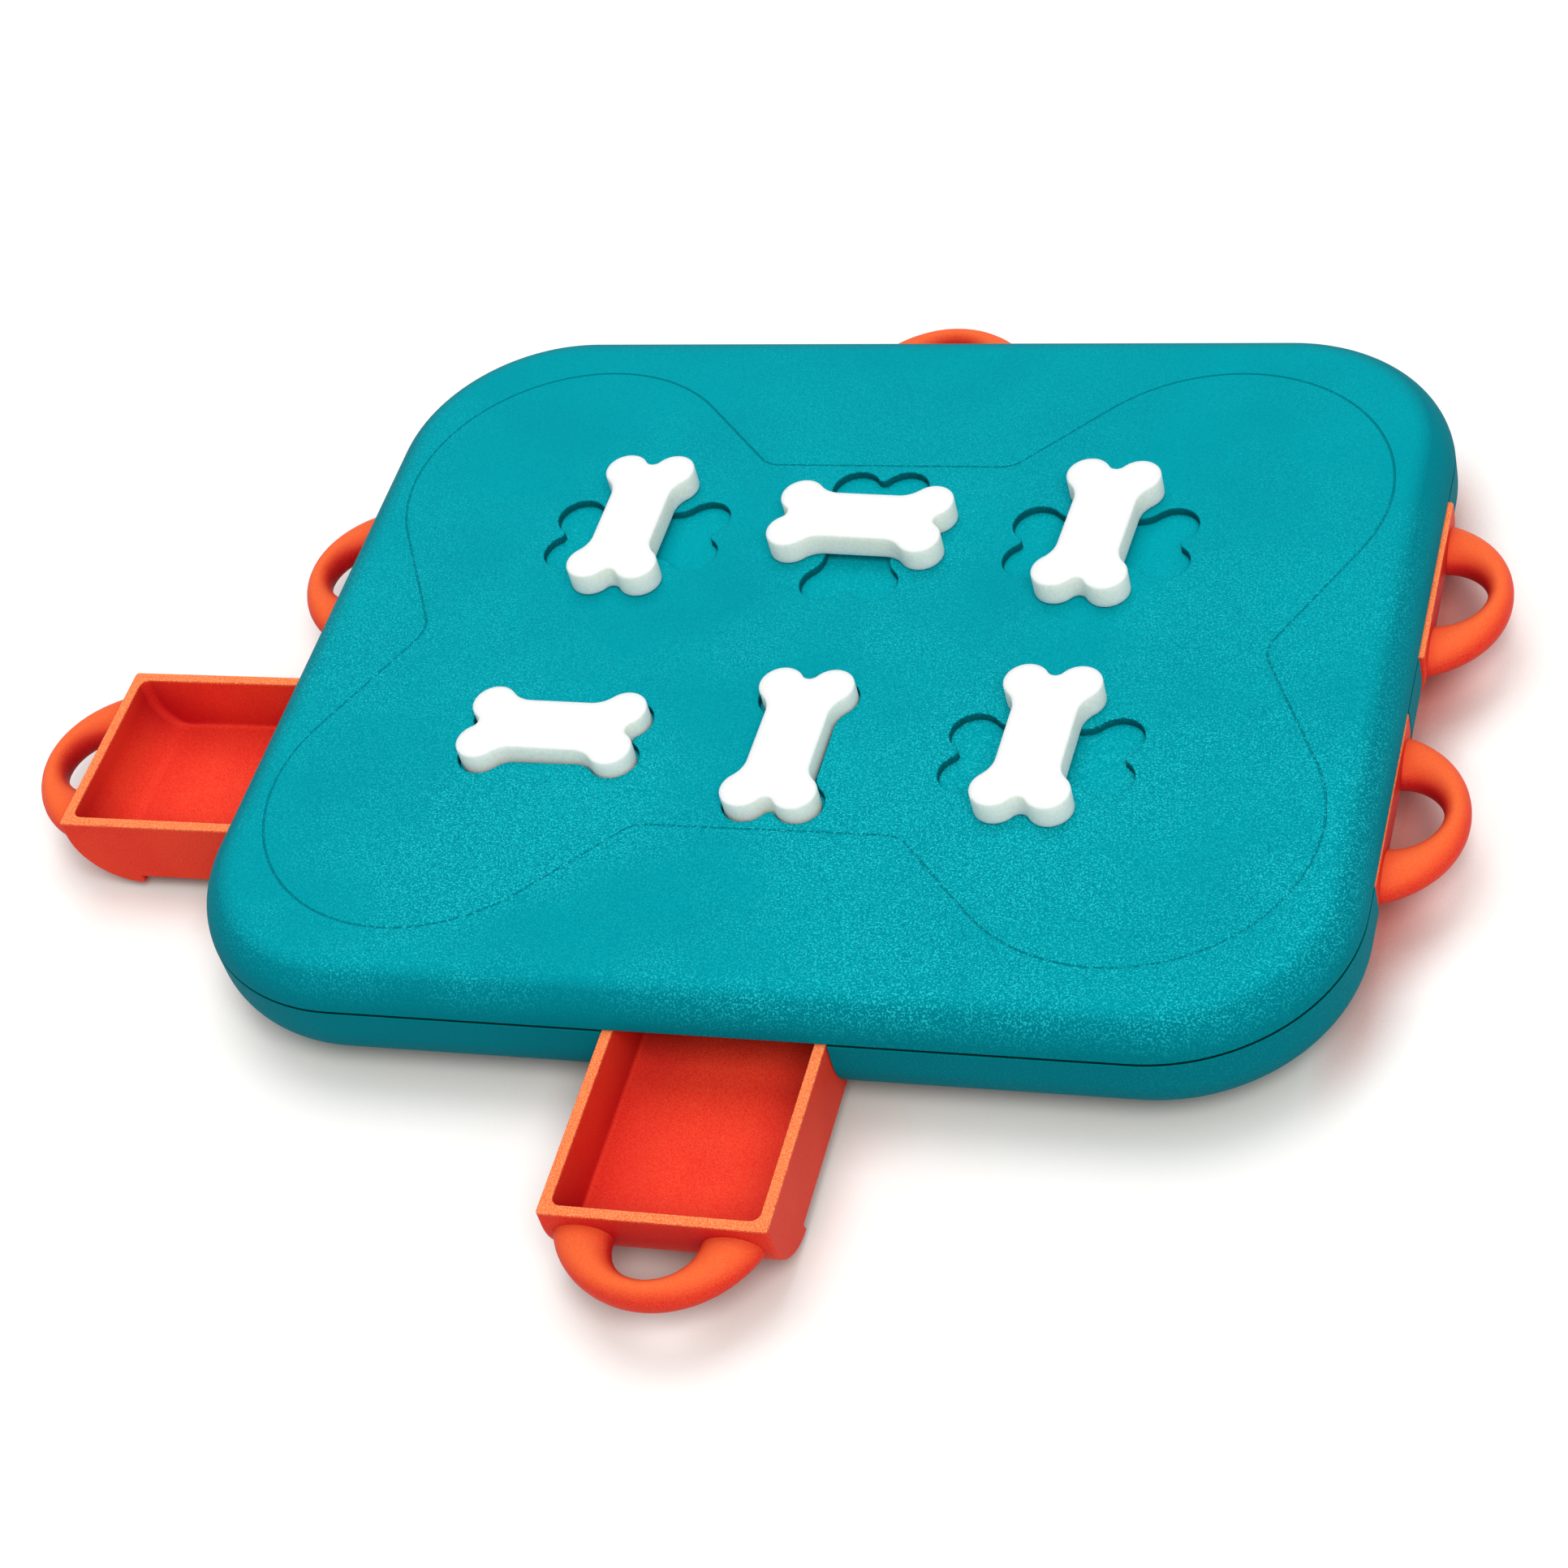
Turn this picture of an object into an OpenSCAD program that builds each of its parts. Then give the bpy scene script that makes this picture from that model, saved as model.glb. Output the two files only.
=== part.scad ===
// Sliding-drawer puzzle feeder: a two-shell board with six treat drawers and six bone-shaped locks.
// Origin: the board's centre on the surface that it stands on. X runs along the long side, Z up.
// All sizes are millimetres.

/* [Board] */
// Board length, left to right
board_w = 316; // [300:1:380]
// Board depth, front to back
board_d = 263; // [250:1:320]
// Plan radius of the board's corners
corner_r = 51; // [44:1:60]
// Height of the top cover, seam to top face
cover_h = 10.5; // [9.5:0.5:14]
// Height of the base tray, underside to seam
base_h = 23.9; // [22:0.1:32]
// Gap below the base tray, which the feet fill
stand_off = 3; // [2:0.5:5]
// Radius that rolls the cover's top face into its side
top_edge_r = 12; // [8:0.5:14]
// Radius that rolls the tray's side under the board
under_edge_r = 16; // [12:0.5:18]

/* [Shells] */
// Thickness of the cover's top and side
cover_wall = 2.8; // [2.4:0.1:4]
// Thickness of the cover under a bone's recess
pocket_wall = 2.4; // [1.6:0.1:3]
// Thickness of the tray's floor and sides
base_wall = 2.4; // [1.8:0.1:3]
// Open height of the shadow line at the seam
seam_gap = 0.5; // [0.3:0.1:0.8]
// Depth of the shadow line
seam_depth = 0.6; // [0.4:0.1:0.8]
// Height of the tray's locating lip inside the cover
lip_h = 1.4; // [1:0.2:2]
// Thickness of the locating lip
lip_t = 1; // [0.8:0.1:1.2]
// Thickness of the tray's guide ribs
rib_t = 2.2; // [1.6:0.1:3]

/* [Drawers] */
// Outside width of a drawer
drawer_w = 60; // [50:1:62]
// Thickness of a drawer's side walls and rim
drawer_wall = 3; // [2.4:0.1:4]
// Thickness of a drawer's floor
drawer_floor = 2.5; // [2:0.1:4]
// Radius that rolls a drawer's front under
front_edge_r = 18; // [14:0.5:18.5]
// Length of the deep part under a drawer's front, which covers the tray floor's edge
chin_len = 18.5; // [16:0.5:20]
// How far a drawer runs past the axis of its lock
drawer_tail = 10; // [9.5:0.5:12]
// Plan radius of the corners inside a drawer
inner_r = 3; // [1:0.5:5]
// Gap between a drawer's rim and the cover
rim_gap = 0.5; // [0.3:0.1:1]
// Gap between a drawer's side and its opening
side_gap = 0.4; // [0.3:0.1:1]
// Gap below a drawer
run_gap = 0.2; // [0.1:0.1:0.4]
// Full travel of a drawer, closed to its stops
drawer_travel = 70; // [60:1:74]
// How far the stop lugs stand out of a drawer's sides
lug_out = 2; // [1.5:0.1:3]

/* [Handles] */
// Distance from the end of a handle to the side of its drawer
handle_margin = 2.5; // [1.5:0.5:5]
// How far a handle reaches past the drawer's front
handle_reach = 19; // [16:0.5:22]
// Vertical thickness of a handle
handle_t = 10; // [8:0.5:11]
// Radius of the finger hole
finger_r = 11.3; // [9:0.1:13]
// Thickness of a handle at its outermost point
handle_bow = 6.8; // [6:0.1:9]
// Depth of the handle's middle below the rim
handle_drop = 8.4; // [7:0.1:10]

/* [Bones] */
// Distance from each lock's axis to the board's edge that its drawer comes out of
lock_inset = 90; // [86:0.5:94]
// Distance between the two drawers on a side, and between their bones
row_pitch = 80.2; // [76:0.2:92]
// Radius of a bone's four round ends
lobe_r = 6.2; // [5:0.1:6.4]
// Half the distance between the round ends, along the bone
lobe_x = 19.25; // [17:0.25:24]
// Half the distance between the round ends, across the bone
lobe_y = 7.2; // [7:0.1:8]
// Width of a bone at its waist
waist_w = 17.7; // [14:0.1:20]
// Radius from the waist into a round end
waist_r = 8; // [6:0.5:12]
// How far the notch in a bone's end lies outside the round ends' centres
notch_out = 2.4; // [2:0.1:3]
// Thickness of a bone
bone_t = 7.4; // [6:0.2:9]
// Depth of a bone's recess in the cover
recess_depth = 2.6; // [2:0.1:3]
// Gap all round a bone in its recess
recess_gap = 0.75; // [0.4:0.05:1.2]
// Gap under a bone, on the cover or in its recess
seat_gap = 0.3; // [0.2:0.1:0.6]

/* [Locks] */
// Diameter of the stem under a bone
stem_d = 8; // [7:0.5:10]
// Radial clearance of the stem in the cover
stem_clear = 0.06; // [0.03:0.01:0.1]
// Thickness of the lock cam
cam_t = 3; // [2.6:0.2:3.4]
// Width of the lock cam
cam_w = 10; // [9:0.5:12]
// Length of the lock cam
cam_len = 18; // [15:0.5:19]
// Gap between the lock cam and what it passes
cam_gap = 0.4; // [0.3:0.1:0.8]
// Depth of the notch in a drawer's rear wall
notch_depth = 2.9; // [2.7:0.1:4]
// Height of the key that turns the cam with its bone
key_h = 0.6; // [0.5:0.1:0.7]

/* [Fasteners] */
// Shank diameter of the case screws
case_screw_d = 4; // [3:0.5:4.5]
// Shank diameter of the cam screws
cam_screw_d = 2.2; // [1.8:0.1:2.6]
// Diameter of a rubber foot
foot_d = 16; // [12:1:20]
// Depth of a foot's seat in the tray
foot_seat = 0.8; // [0.6:0.1:1]

/* [Rest pose] */
// How far the front drawer stands open
front_open = 57; // [0:1:60]
// How far the front drawer on the left stands open
left_open = 55; // [0:1:60]
// How far the rear drawer on the right stands open
right_open = 1.2; // [0:0.1:10]
// Turn of the rear left bone from the line of its recess
back_left_turn = 89.3; // [80:0.1:90]
// Turn of the rear middle bone from the line of its recess
back_mid_turn = 87.3; // [80:0.1:90]
// Turn of the rear right bone from the line of its recess
back_right_turn = 86.8; // [80:0.1:90]
// Turn of the front right bone from the line of its recess
front_right_turn = 88.8; // [80:0.1:90]
// Turn of a sunk bone inside its recess
sunk_turn = -1.1; // [-1.2:0.1:1.2]

/* [Hidden] */
$fn = 64;

teal = [0.01, 0.62, 0.67];
orange = [0.90, 0.30, 0.15];
bone_white = [0.96, 0.96, 0.93];
acetal = [0.80, 0.80, 0.76];
steel = [0.66, 0.67, 0.69];
rubber = [0.12, 0.12, 0.13];
cut = 1; // how far a cutting tool runs past the face that it opens

// heights above the rest surface
base_z = stand_off;
seam_z = base_z + base_h;
top_z = seam_z + cover_h;
plate_z = top_z - cover_wall;
pocket_z = top_z - recess_depth - pocket_wall;
floor_z = base_z + base_wall;
rim_z = seam_z - rim_gap;
drawer_z = floor_z + run_gap;

// the six drawers: place of the opening's middle at the board's edge, and direction of travel
half_w = board_w / 2;
half_d = board_d / 2;
column_x = half_w - lock_inset;
mid_y = half_d - lock_inset;
row_y = row_pitch / 2;
drawer_len = lock_inset + drawer_tail;
opening_w = drawer_w + 2 * side_gap;
bay_w = drawer_w + 2 * (lug_out + side_gap);
lip_inset = base_wall - lip_t;
lip_gap = 0.2;
chin_gap = 0.4;
bay_gap = 0.4;
lug_t = 3;
lug_clear = 0.2;
lug_drop = 3;
lug_bottom = base_z + under_edge_r + lug_clear;
lug_top = rim_z - lug_drop;
rib_drop = 1.4;
rib_top = rim_z - rib_drop;

// handle: an outer circle centred inside the drawer, less a smaller finger hole
handle_w = drawer_w - 2 * handle_margin;
handle_back = (pow(handle_w / 2, 2) - pow(handle_reach, 2)) / (2 * handle_reach);
handle_r = handle_reach + handle_back;
finger_x = handle_reach - handle_bow - finger_r;
handle_root = 2.4;

// locks
raised_z = top_z + seat_gap;
sunk_z = top_z - recess_depth + seat_gap;
bone_drop = raised_z - sunk_z;
cam_bottom_raised = rim_z + cam_gap;
stem_len = raised_z - cam_bottom_raised - cam_t;
boss_gap = 0.6;
boss_z = cam_bottom_raised + cam_t + boss_gap;
boss_wall = 3;
boss_d = stem_d + 2 * boss_wall;
bore_d = stem_d + 2 * stem_clear;
key_w = 2.6;
key_len = 6;
key_gap = 0.1;
notch_w = cam_w + 2 * cam_gap;
pocket_r = lobe_r + recess_gap + pocket_wall;
cam_head_d = 4.2;
cam_head_h = 1.1;
cam_head_gap = 0.1;
cam_screw_len = 7;
cam_slot_w = 0.5;
screw_gap = 0.05;

// case screws and feet
post_d = 11;
head_d = 7;
head_h = 2.6;
head_gap = 0.4;
head_depth = 5.4;
head_slot_w = 1;
head_seat = base_z + head_depth;
screw_tip_room = 0.6;
screw_len = plate_z - head_seat;
post_dx = half_w - 30;
post_dy = half_d - 31.5;
mid_post_dx = 48;
mid_post_dy = half_d - 27.5;
foot_edge = 1;
foot_dx = half_w - 46;
foot_dy = half_d - 45.5;
POSTS = concat(
    [[0, 0]],
    [for (sx = [-1, 1], sy = [-1, 1]) [sx * post_dx, sy * post_dy]],
    [for (sx = [-1, 1], sy = [-1, 1]) [sx * mid_post_dx, sy * mid_post_dy]]
);

// ---- plan shapes ----

// Rectangle with round corners.
module rounded(size, r) {
    square([size[0] - 2 * r, size[1]], center = true);
    square([size[0], size[1] - 2 * r], center = true);
    for (sx = [-1, 1], sy = [-1, 1])
        translate([sx * (size[0] / 2 - r), sy * (size[1] / 2 - r)])
            circle(r);
}

// Bone outline lying along X, grown all round by a gap. The notch and the waist touch the round ends.
module bone_plan(gap = 0) {
    notch_r = (pow(notch_out, 2) + pow(lobe_y, 2) - pow(lobe_r, 2)) / (2 * (lobe_r - notch_out));
    notch_x = lobe_x + notch_out + notch_r;
    waist_y = waist_w / 2 + waist_r;
    waist_x = lobe_x - sqrt(pow(waist_r + lobe_r, 2) - pow(waist_y - lobe_y, 2));
    difference() {
        union() {
            for (sx = [-1, 1], sy = [-1, 1]) {
                translate([sx * lobe_x, sy * lobe_y])
                    circle(lobe_r + gap);
                polygon([
                    [0, 0], [sx * notch_x, 0], [sx * lobe_x, sy * lobe_y], [sx * waist_x, sy * waist_y],
                    [sx * waist_x, sy * (waist_w / 2 + gap)], [0, sy * (waist_w / 2 + gap)],
                ]);
            }
        }
        for (s = [-1, 1])
            translate([s * notch_x, 0])
                circle(notch_r - gap);
        for (sx = [-1, 1], sy = [-1, 1])
            translate([sx * waist_x, sy * waist_y])
                circle(waist_r - gap);
    }
}

// ---- shells ----

// What a rolled lower edge takes off a corner, with the roll's centre at the origin.
module under_edge(r) {
    difference() {
        translate([0, -r - cut])
            square([r + cut, r + cut]);
        circle(r);
    }
}

// Side profile of the cover: X is the distance out from the corner's centre.
module cover_profile() {
    difference() {
        translate([0, seam_z])
            square([corner_r, cover_h]);
        translate([corner_r - top_edge_r, top_z - top_edge_r])
            mirror([0, 1])
                under_edge(top_edge_r);
    }
}

// Outer profile of the tray, set in by a distance.
module tray_profile(inset, top) {
    difference() {
        translate([0, base_z + inset])
            square([corner_r - inset, top - base_z - inset]);
        translate([corner_r - under_edge_r, base_z + under_edge_r])
            under_edge(under_edge_r - inset);
    }
}

// The tray's floor and side with its locating lip, less the shadow line at the seam.
module wall_profile() {
    difference() {
        union() {
            tray_profile(0, seam_z);
            translate([corner_r - base_wall, seam_z - cut])
                square([base_wall - lip_inset, lip_h + cut]);
        }
        tray_profile(base_wall, seam_z + lip_h + cut);
        translate([corner_r - seam_depth, seam_z - seam_gap])
            square([seam_depth + cut, seam_gap + cut]);
    }
}

// Sweeps a side profile round the board's plan and fills its middle between two heights.
module round_board(z0, z1) {
    cx = half_w - corner_r;
    cy = half_d - corner_r;
    for (i = [0:3])
        translate([[cx, cy], [-cx, cy], [-cx, -cy], [cx, -cy]][i])
            rotate([0, 0, 90 * i])
                rotate_extrude(angle = 90)
                    children();
    for (s = [-1, 1]) {
        translate([s * cx, 0, 0])
            rotate([90, 0, s > 0 ? 0 : 180])
                linear_extrude(2 * cy, center = true)
                    children();
        translate([0, s * cy, 0])
            rotate([90, 0, s * 90])
                linear_extrude(2 * cx, center = true)
                    children();
    }
    translate([-cx, -cy, z0])
        cube([2 * cx, 2 * cy, z1 - z0]);
}

// Puts its children at each drawer's place at the board's edge, with +X outward.
module at_front() { translate([0, -half_d, 0]) rotate([0, 0, -90]) children(); }
module at_back() { translate([0, half_d, 0]) rotate([0, 0, 90]) children(); }
module at_left(y) { translate([-half_w, y, 0]) rotate([0, 0, 180]) children(); }
module at_right(y) { translate([half_w, y, 0]) children(); }

// The axis of one lock, with X along its drawer's travel.
module on_axis(sx, sy) {
    translate([sx * column_x, sy * (sx == 0 ? mid_y : row_y), 0])
        rotate([0, 0, sx == 0 ? 90 : 0])
            children();
}

module at_locks() {
    for (sx = [-1, 0, 1], sy = [-1, 1])
        on_axis(sx, sy) children();
}

// The cover's top and side, hollowed to its wall and grooved for the tray's locating lip.
module skirt_profile() {
    difference() {
        cover_profile();
        difference() {
            translate([0, seam_z - cut])
                square([corner_r - cover_wall, plate_z - seam_z + cut]);
            translate([corner_r - top_edge_r, top_z - top_edge_r])
                mirror([0, 1])
                    under_edge(top_edge_r - cover_wall);
        }
        translate([0, seam_z - cut])
            square([corner_r - lip_inset + lip_gap, lip_h + lip_gap + cut]);
    }
}

module top_cover() color(teal) {
    difference() {
        union() {
            round_board(plate_z, top_z) skirt_profile();
            at_locks() {
                translate([0, 0, pocket_z])
                    linear_extrude(top_z - recess_depth / 2 - pocket_z)
                        rounded(2 * [lobe_x + pocket_r, lobe_y + pocket_r], pocket_r);
                translate([0, 0, boss_z])
                    cylinder(d = boss_d, h = pocket_z - boss_z + pocket_wall / 2);
            }
            for (p = POSTS)
                translate([p[0], p[1], seam_z])
                    cylinder(d = post_d, h = plate_z - seam_z + cover_wall / 2);
        }
        at_locks() {
            translate([0, 0, top_z - recess_depth])
                linear_extrude(recess_depth + cut)
                    bone_plan(recess_gap);
            translate([0, 0, boss_z - cut])
                cylinder(d = bore_d, h = top_z - boss_z + cut);
        }
        for (p = POSTS)
            translate([p[0], p[1], seam_z - cut])
                cylinder(d = case_screw_d + 2 * screw_gap, h = plate_z - seam_z + screw_tip_room + cut);
    }
}

// Guide rails and rear stop of one drawer bay, with the tray's edge at X = 0.
module bay_ribs() {
    back = drawer_len + bay_gap + rib_t;
    for (s = [-1, 1])
        translate([0, s * (bay_w + rib_t) / 2, 0])
            rotate([90, 0, 0])
                linear_extrude(rib_t, center = true)
                    difference() {
                        translate([-back, floor_z - base_wall / 2])
                            square([back - base_wall / 2, rib_top - floor_z + base_wall / 2]);
                        translate([-under_edge_r, base_z + under_edge_r])
                            under_edge(under_edge_r - base_wall / 2);
                    }
    translate([-back, -bay_w / 2 - rib_t / 2, floor_z - base_wall / 2])
        cube([rib_t, bay_w + rib_t, rib_top - floor_z + base_wall / 2]);
}

// What a drawer's opening takes out of the tray's side and floor.
module bay_cut() {
    translate([-chin_len - chin_gap, -opening_w / 2, base_z - cut])
        cube([chin_len + chin_gap + cut, opening_w, base_h + lip_h + 2 * cut]);
}

module at_bays() {
    at_front() children();
    at_back() children();
    for (y = [-row_y, row_y]) {
        at_left(y) children();
        at_right(y) children();
    }
}

module base_tray() color(teal) {
    difference() {
        union() {
            round_board(base_z, floor_z) wall_profile();
            at_bays() bay_ribs();
            for (p = POSTS)
                translate([p[0], p[1], base_z + base_wall / 2])
                    cylinder(d = post_d, h = base_h - base_wall / 2);
        }
        at_bays() bay_cut();
        for (p = POSTS)
            translate([p[0], p[1], 0]) {
                translate([0, 0, base_z - cut])
                    cylinder(d = head_d + 2 * head_gap, h = head_seat - base_z + cut);
                cylinder(d = case_screw_d + 2 * screw_gap, h = seam_z + cut);
            }
        for (f = FEET)
            translate([f[0], f[1], base_z - cut])
                cylinder(d = foot_d + 2 * screw_gap, h = foot_seat + cut);
    }
}

module case_screws() color(steel)
    for (p = POSTS)
        translate([p[0], p[1], head_seat - head_h])
            difference() {
                union() {
                    cylinder(d = head_d, h = head_h);
                    cylinder(d = case_screw_d, h = head_h + screw_len);
                }
                for (a = [0, 90])
                    rotate([0, 0, a])
                        translate([-head_d / 4, -head_slot_w / 2, -cut])
                            cube([head_d / 2, head_slot_w, cut + head_h / 2]);
            }

FEET = concat([[0, 0]], [for (sx = [-1, 1], sy = [-1, 1]) [sx * foot_dx, sy * foot_dy]]);

// One rubber foot, flat on the rest surface and seated in the tray's floor.
module foot(i) color(rubber)
    translate([FEET[i][0], FEET[i][1], 0]) {
        cylinder(d1 = foot_d - 2 * foot_edge, d2 = foot_d, h = foot_edge);
        translate([0, 0, foot_edge])
            cylinder(d = foot_d, h = base_z + foot_seat - foot_edge);
    }

// ---- drawers ----

// Side view of a drawer: X outward with its front at 0, Y up.
module drawer_side() {
    difference() {
        union() {
            translate([-drawer_len, drawer_z])
                square([drawer_len - front_edge_r, rim_z - drawer_z]);
            translate([-chin_len, base_z])
                square([chin_len, rim_z - base_z]);
        }
        translate([-front_edge_r, base_z + front_edge_r])
            under_edge(front_edge_r);
    }
}

// The hollow's side view, down to the drawer's floor and up past its rim.
module hollow_side() {
    r = front_edge_r - drawer_wall;
    intersection() {
        translate([-drawer_len + drawer_wall, drawer_z + drawer_floor])
            square([drawer_len - 2 * drawer_wall, rim_z - drawer_z]);
        union() {
            translate([-drawer_len, base_z])
                square([drawer_len - front_edge_r, 2 * base_h]);
            translate([-front_edge_r - cut, base_z + front_edge_r])
                square([r + cut, 2 * base_h]);
            translate([-front_edge_r, base_z + front_edge_r])
                circle(r);
        }
    }
}

// Ring handle on the front of a drawer, rounded at its outer edge and rooted in the front.
module handle() {
    difference() {
        intersection() {
            translate([-handle_back, 0, rim_z - handle_drop])
                rotate_extrude() {
                    translate([0, -handle_t / 2])
                        square([handle_r - handle_t / 2, handle_t]);
                    translate([handle_r - handle_t / 2, 0])
                        circle(handle_t / 2);
                }
            translate([-handle_root, -drawer_w, base_z])
                cube([handle_root + 2 * handle_reach, 2 * drawer_w, base_h]);
        }
        translate([0, 0, base_z])
            linear_extrude(base_h) {
                translate([finger_x, 0])
                    circle(finger_r);
                translate([-2 * handle_root, -finger_r])
                    square([2 * handle_root + finger_x, 2 * finger_r]);
            }
    }
}

// A drawer closed at the board's edge, with its front at X = 0.
module drawer() color(orange) {
    difference() {
        union() {
            rotate([90, 0, 0])
                linear_extrude(drawer_w, center = true)
                    drawer_side();
            for (s = [0, 180])
                translate([-base_wall - drawer_travel - lug_clear - lug_t / 2, 0, lug_bottom])
                    rotate([0, 0, s])
                        translate([-lug_t / 2, drawer_w / 2 - cut, 0])
                            cube([lug_t, lug_out + cut, lug_top - lug_bottom]);
        }
        intersection() {
            rotate([90, 0, 0])
                linear_extrude(drawer_w, center = true)
                    hollow_side();
            translate([-drawer_len / 2, 0, drawer_z])
                linear_extrude(base_h + cut)
                    rounded([drawer_len - 2 * drawer_wall, drawer_w - 2 * drawer_wall], inner_r);
        }
        translate([-drawer_len - cut, -notch_w / 2, rim_z - notch_depth])
            cube([drawer_wall + 2 * cut, notch_w, notch_depth + cut]);
    }
    handle();
}

// ---- locks ----

// A bone dropped into its recess, in line with its drawer's travel.
module sunk(sx, sy) {
    on_axis(sx, sy)
        translate([0, 0, sunk_z])
            rotate([0, 0, sunk_turn])
                children();
}

// A bone lifted clear of its recess and turned across it.
module raised(sx, sy, turn) {
    on_axis(sx, sy)
        translate([0, 0, raised_z])
            rotate([0, 0, turn])
                children();
}

// Bone with its stem and key, and its underside at Z = 0.
module bone() color(bone_white)
    difference() {
        union() {
            linear_extrude(bone_t)
                bone_plan();
            translate([0, 0, -stem_len])
                cylinder(d = stem_d, h = stem_len + cut);
            translate([-key_len / 2, -key_w / 2, -stem_len - key_h])
                cube([key_len, key_w, key_h + cut]);
        }
        translate([0, 0, -stem_len - key_h - cut])
            cylinder(d = cam_screw_d + 2 * screw_gap, h = cam_screw_len - cam_t + screw_tip_room + key_h + cut);
    }

// Lock cam below the stem: it turns with the bone.
module cam() color(acetal)
    translate([0, 0, -stem_len - cam_t])
        difference() {
            intersection() {
                translate([-cam_len / 2, -cam_w / 2, 0])
                    cube([cam_len, cam_w, cam_t]);
                cylinder(d = cam_len, h = cam_t);
            }
            translate([-key_len / 2 - key_gap, -key_w / 2 - key_gap, cam_t - key_h - key_gap])
                cube([key_len + 2 * key_gap, key_w + 2 * key_gap, key_h + key_gap + cut]);
            translate([0, 0, -cut])
                cylinder(d = cam_head_d + 2 * cam_head_gap, h = cam_head_h + cut);
            cylinder(d = cam_screw_d + 2 * screw_gap, h = cam_t);
        }

module cam_screw() color(steel)
    translate([0, 0, -stem_len - cam_t])
        difference() {
            union() {
                cylinder(d = cam_head_d, h = cam_head_h);
                cylinder(d = cam_screw_d, h = cam_screw_len);
            }
            translate([-cam_head_d / 2, -cam_slot_w / 2, -cut])
                cube([cam_head_d, cam_slot_w, cut + cam_head_h / 2]);
        }

// ---- the pieces ----

top_cover();
base_tray();
case_screws();
foot(0);  // foot_centre
foot(1);  // foot_front_left
foot(2);  // foot_back_left
foot(3);  // foot_front_right
foot(4);  // foot_back_right
at_front() translate([front_open, 0, 0]) drawer();  // drawer_front
at_back() drawer();  // drawer_back
at_left(-row_y) translate([left_open, 0, 0]) drawer();  // drawer_left_front
at_left(row_y) drawer();  // drawer_left_back
at_right(-row_y) drawer();  // drawer_right_front
at_right(row_y) translate([right_open, 0, 0]) drawer();  // drawer_right_back
sunk(-1, -1) bone();  // bone_front_left
sunk(0, -1) bone();  // bone_front_mid
raised(1, -1, front_right_turn) bone();  // bone_front_right
raised(-1, 1, back_left_turn) bone();  // bone_back_left
raised(0, 1, back_mid_turn) bone();  // bone_back_mid
raised(1, 1, back_right_turn) bone();  // bone_back_right
sunk(-1, -1) cam();  // cam_front_left
sunk(0, -1) cam();  // cam_front_mid
raised(1, -1, front_right_turn) cam();  // cam_front_right
raised(-1, 1, back_left_turn) cam();  // cam_back_left
raised(0, 1, back_mid_turn) cam();  // cam_back_mid
raised(1, 1, back_right_turn) cam();  // cam_back_right
sunk(-1, -1) cam_screw();  // cam_screw_front_left
sunk(0, -1) cam_screw();  // cam_screw_front_mid
raised(1, -1, front_right_turn) cam_screw();  // cam_screw_front_right
raised(-1, 1, back_left_turn) cam_screw();  // cam_screw_back_left
raised(0, 1, back_mid_turn) cam_screw();  // cam_screw_back_mid
raised(1, 1, back_right_turn) cam_screw();  // cam_screw_back_right
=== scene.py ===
"""Looks of the sliding-drawer puzzle feeder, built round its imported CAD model.

Lengths are millimetres in the board's own frame: the origin is at its centre on the floor, X runs along
its long side, Y to the back and Z up. Angles are degrees. Every piece rides on a body of the CAD model.
"""

import math

import bmesh
import bpy
from mathutils import Matrix, Vector

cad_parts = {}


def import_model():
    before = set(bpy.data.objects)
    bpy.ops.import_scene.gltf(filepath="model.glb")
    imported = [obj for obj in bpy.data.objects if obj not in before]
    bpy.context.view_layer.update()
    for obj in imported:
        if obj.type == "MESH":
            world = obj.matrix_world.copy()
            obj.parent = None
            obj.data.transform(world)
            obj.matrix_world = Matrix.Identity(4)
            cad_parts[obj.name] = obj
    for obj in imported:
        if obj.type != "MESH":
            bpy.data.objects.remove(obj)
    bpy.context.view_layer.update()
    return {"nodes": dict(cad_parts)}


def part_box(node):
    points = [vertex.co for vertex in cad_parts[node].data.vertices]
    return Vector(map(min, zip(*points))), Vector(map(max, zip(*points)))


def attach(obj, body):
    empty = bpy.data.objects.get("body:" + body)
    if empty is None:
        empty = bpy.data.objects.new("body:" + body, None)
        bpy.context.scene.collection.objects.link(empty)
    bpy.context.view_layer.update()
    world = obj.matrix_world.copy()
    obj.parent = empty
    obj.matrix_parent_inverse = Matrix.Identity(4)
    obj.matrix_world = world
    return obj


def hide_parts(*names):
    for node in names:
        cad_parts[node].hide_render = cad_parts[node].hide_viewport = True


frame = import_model()

MM = 0.001
# Points closer than these are one point: in a new mesh and after a boolean, in metres, and in a plan.
SAME_POINT = 1e-7
SLIVER = 1e-5
SAME_IN_PLAN = 1e-6


def node_box(node):
    """Lowest and highest corner of a CAD node, in millimetres."""
    return [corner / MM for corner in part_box(node)]


# ---- sizes taken from the frame ----

tray_low, tray_high = node_box("base_tray")
cover_low, cover_high = node_box("top_cover")
_, drawer_high = node_box("drawer_back")
HALF_W = tray_high.x
HALF_D = tray_high.y
BASE_Z = tray_low.z
SEAM_Z = cover_low.z
TOP_Z = cover_high.z
RIM_Z = drawer_high.z
HANDLE_REACH = drawer_high.y - HALF_D

# ---- board ----

CORNER_R = 51
TOP_EDGE_R = 12
UNDER_EDGE_R = 16
COVER_WALL = 2.8
TRAY_WALL = 2.4
SEAM_GAP = 0.7
SEAM_DEPTH = 1.2
LIP_H = 1.4
LIP_INSET = 1.4
LIP_GAP = 0.2
EDGE_SOFT = 0.3
CREASE = 32
RIB_T = 2.2
OPENING_W = 60.8
CHIN_CUT = 18.9

# ---- locks ----

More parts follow.
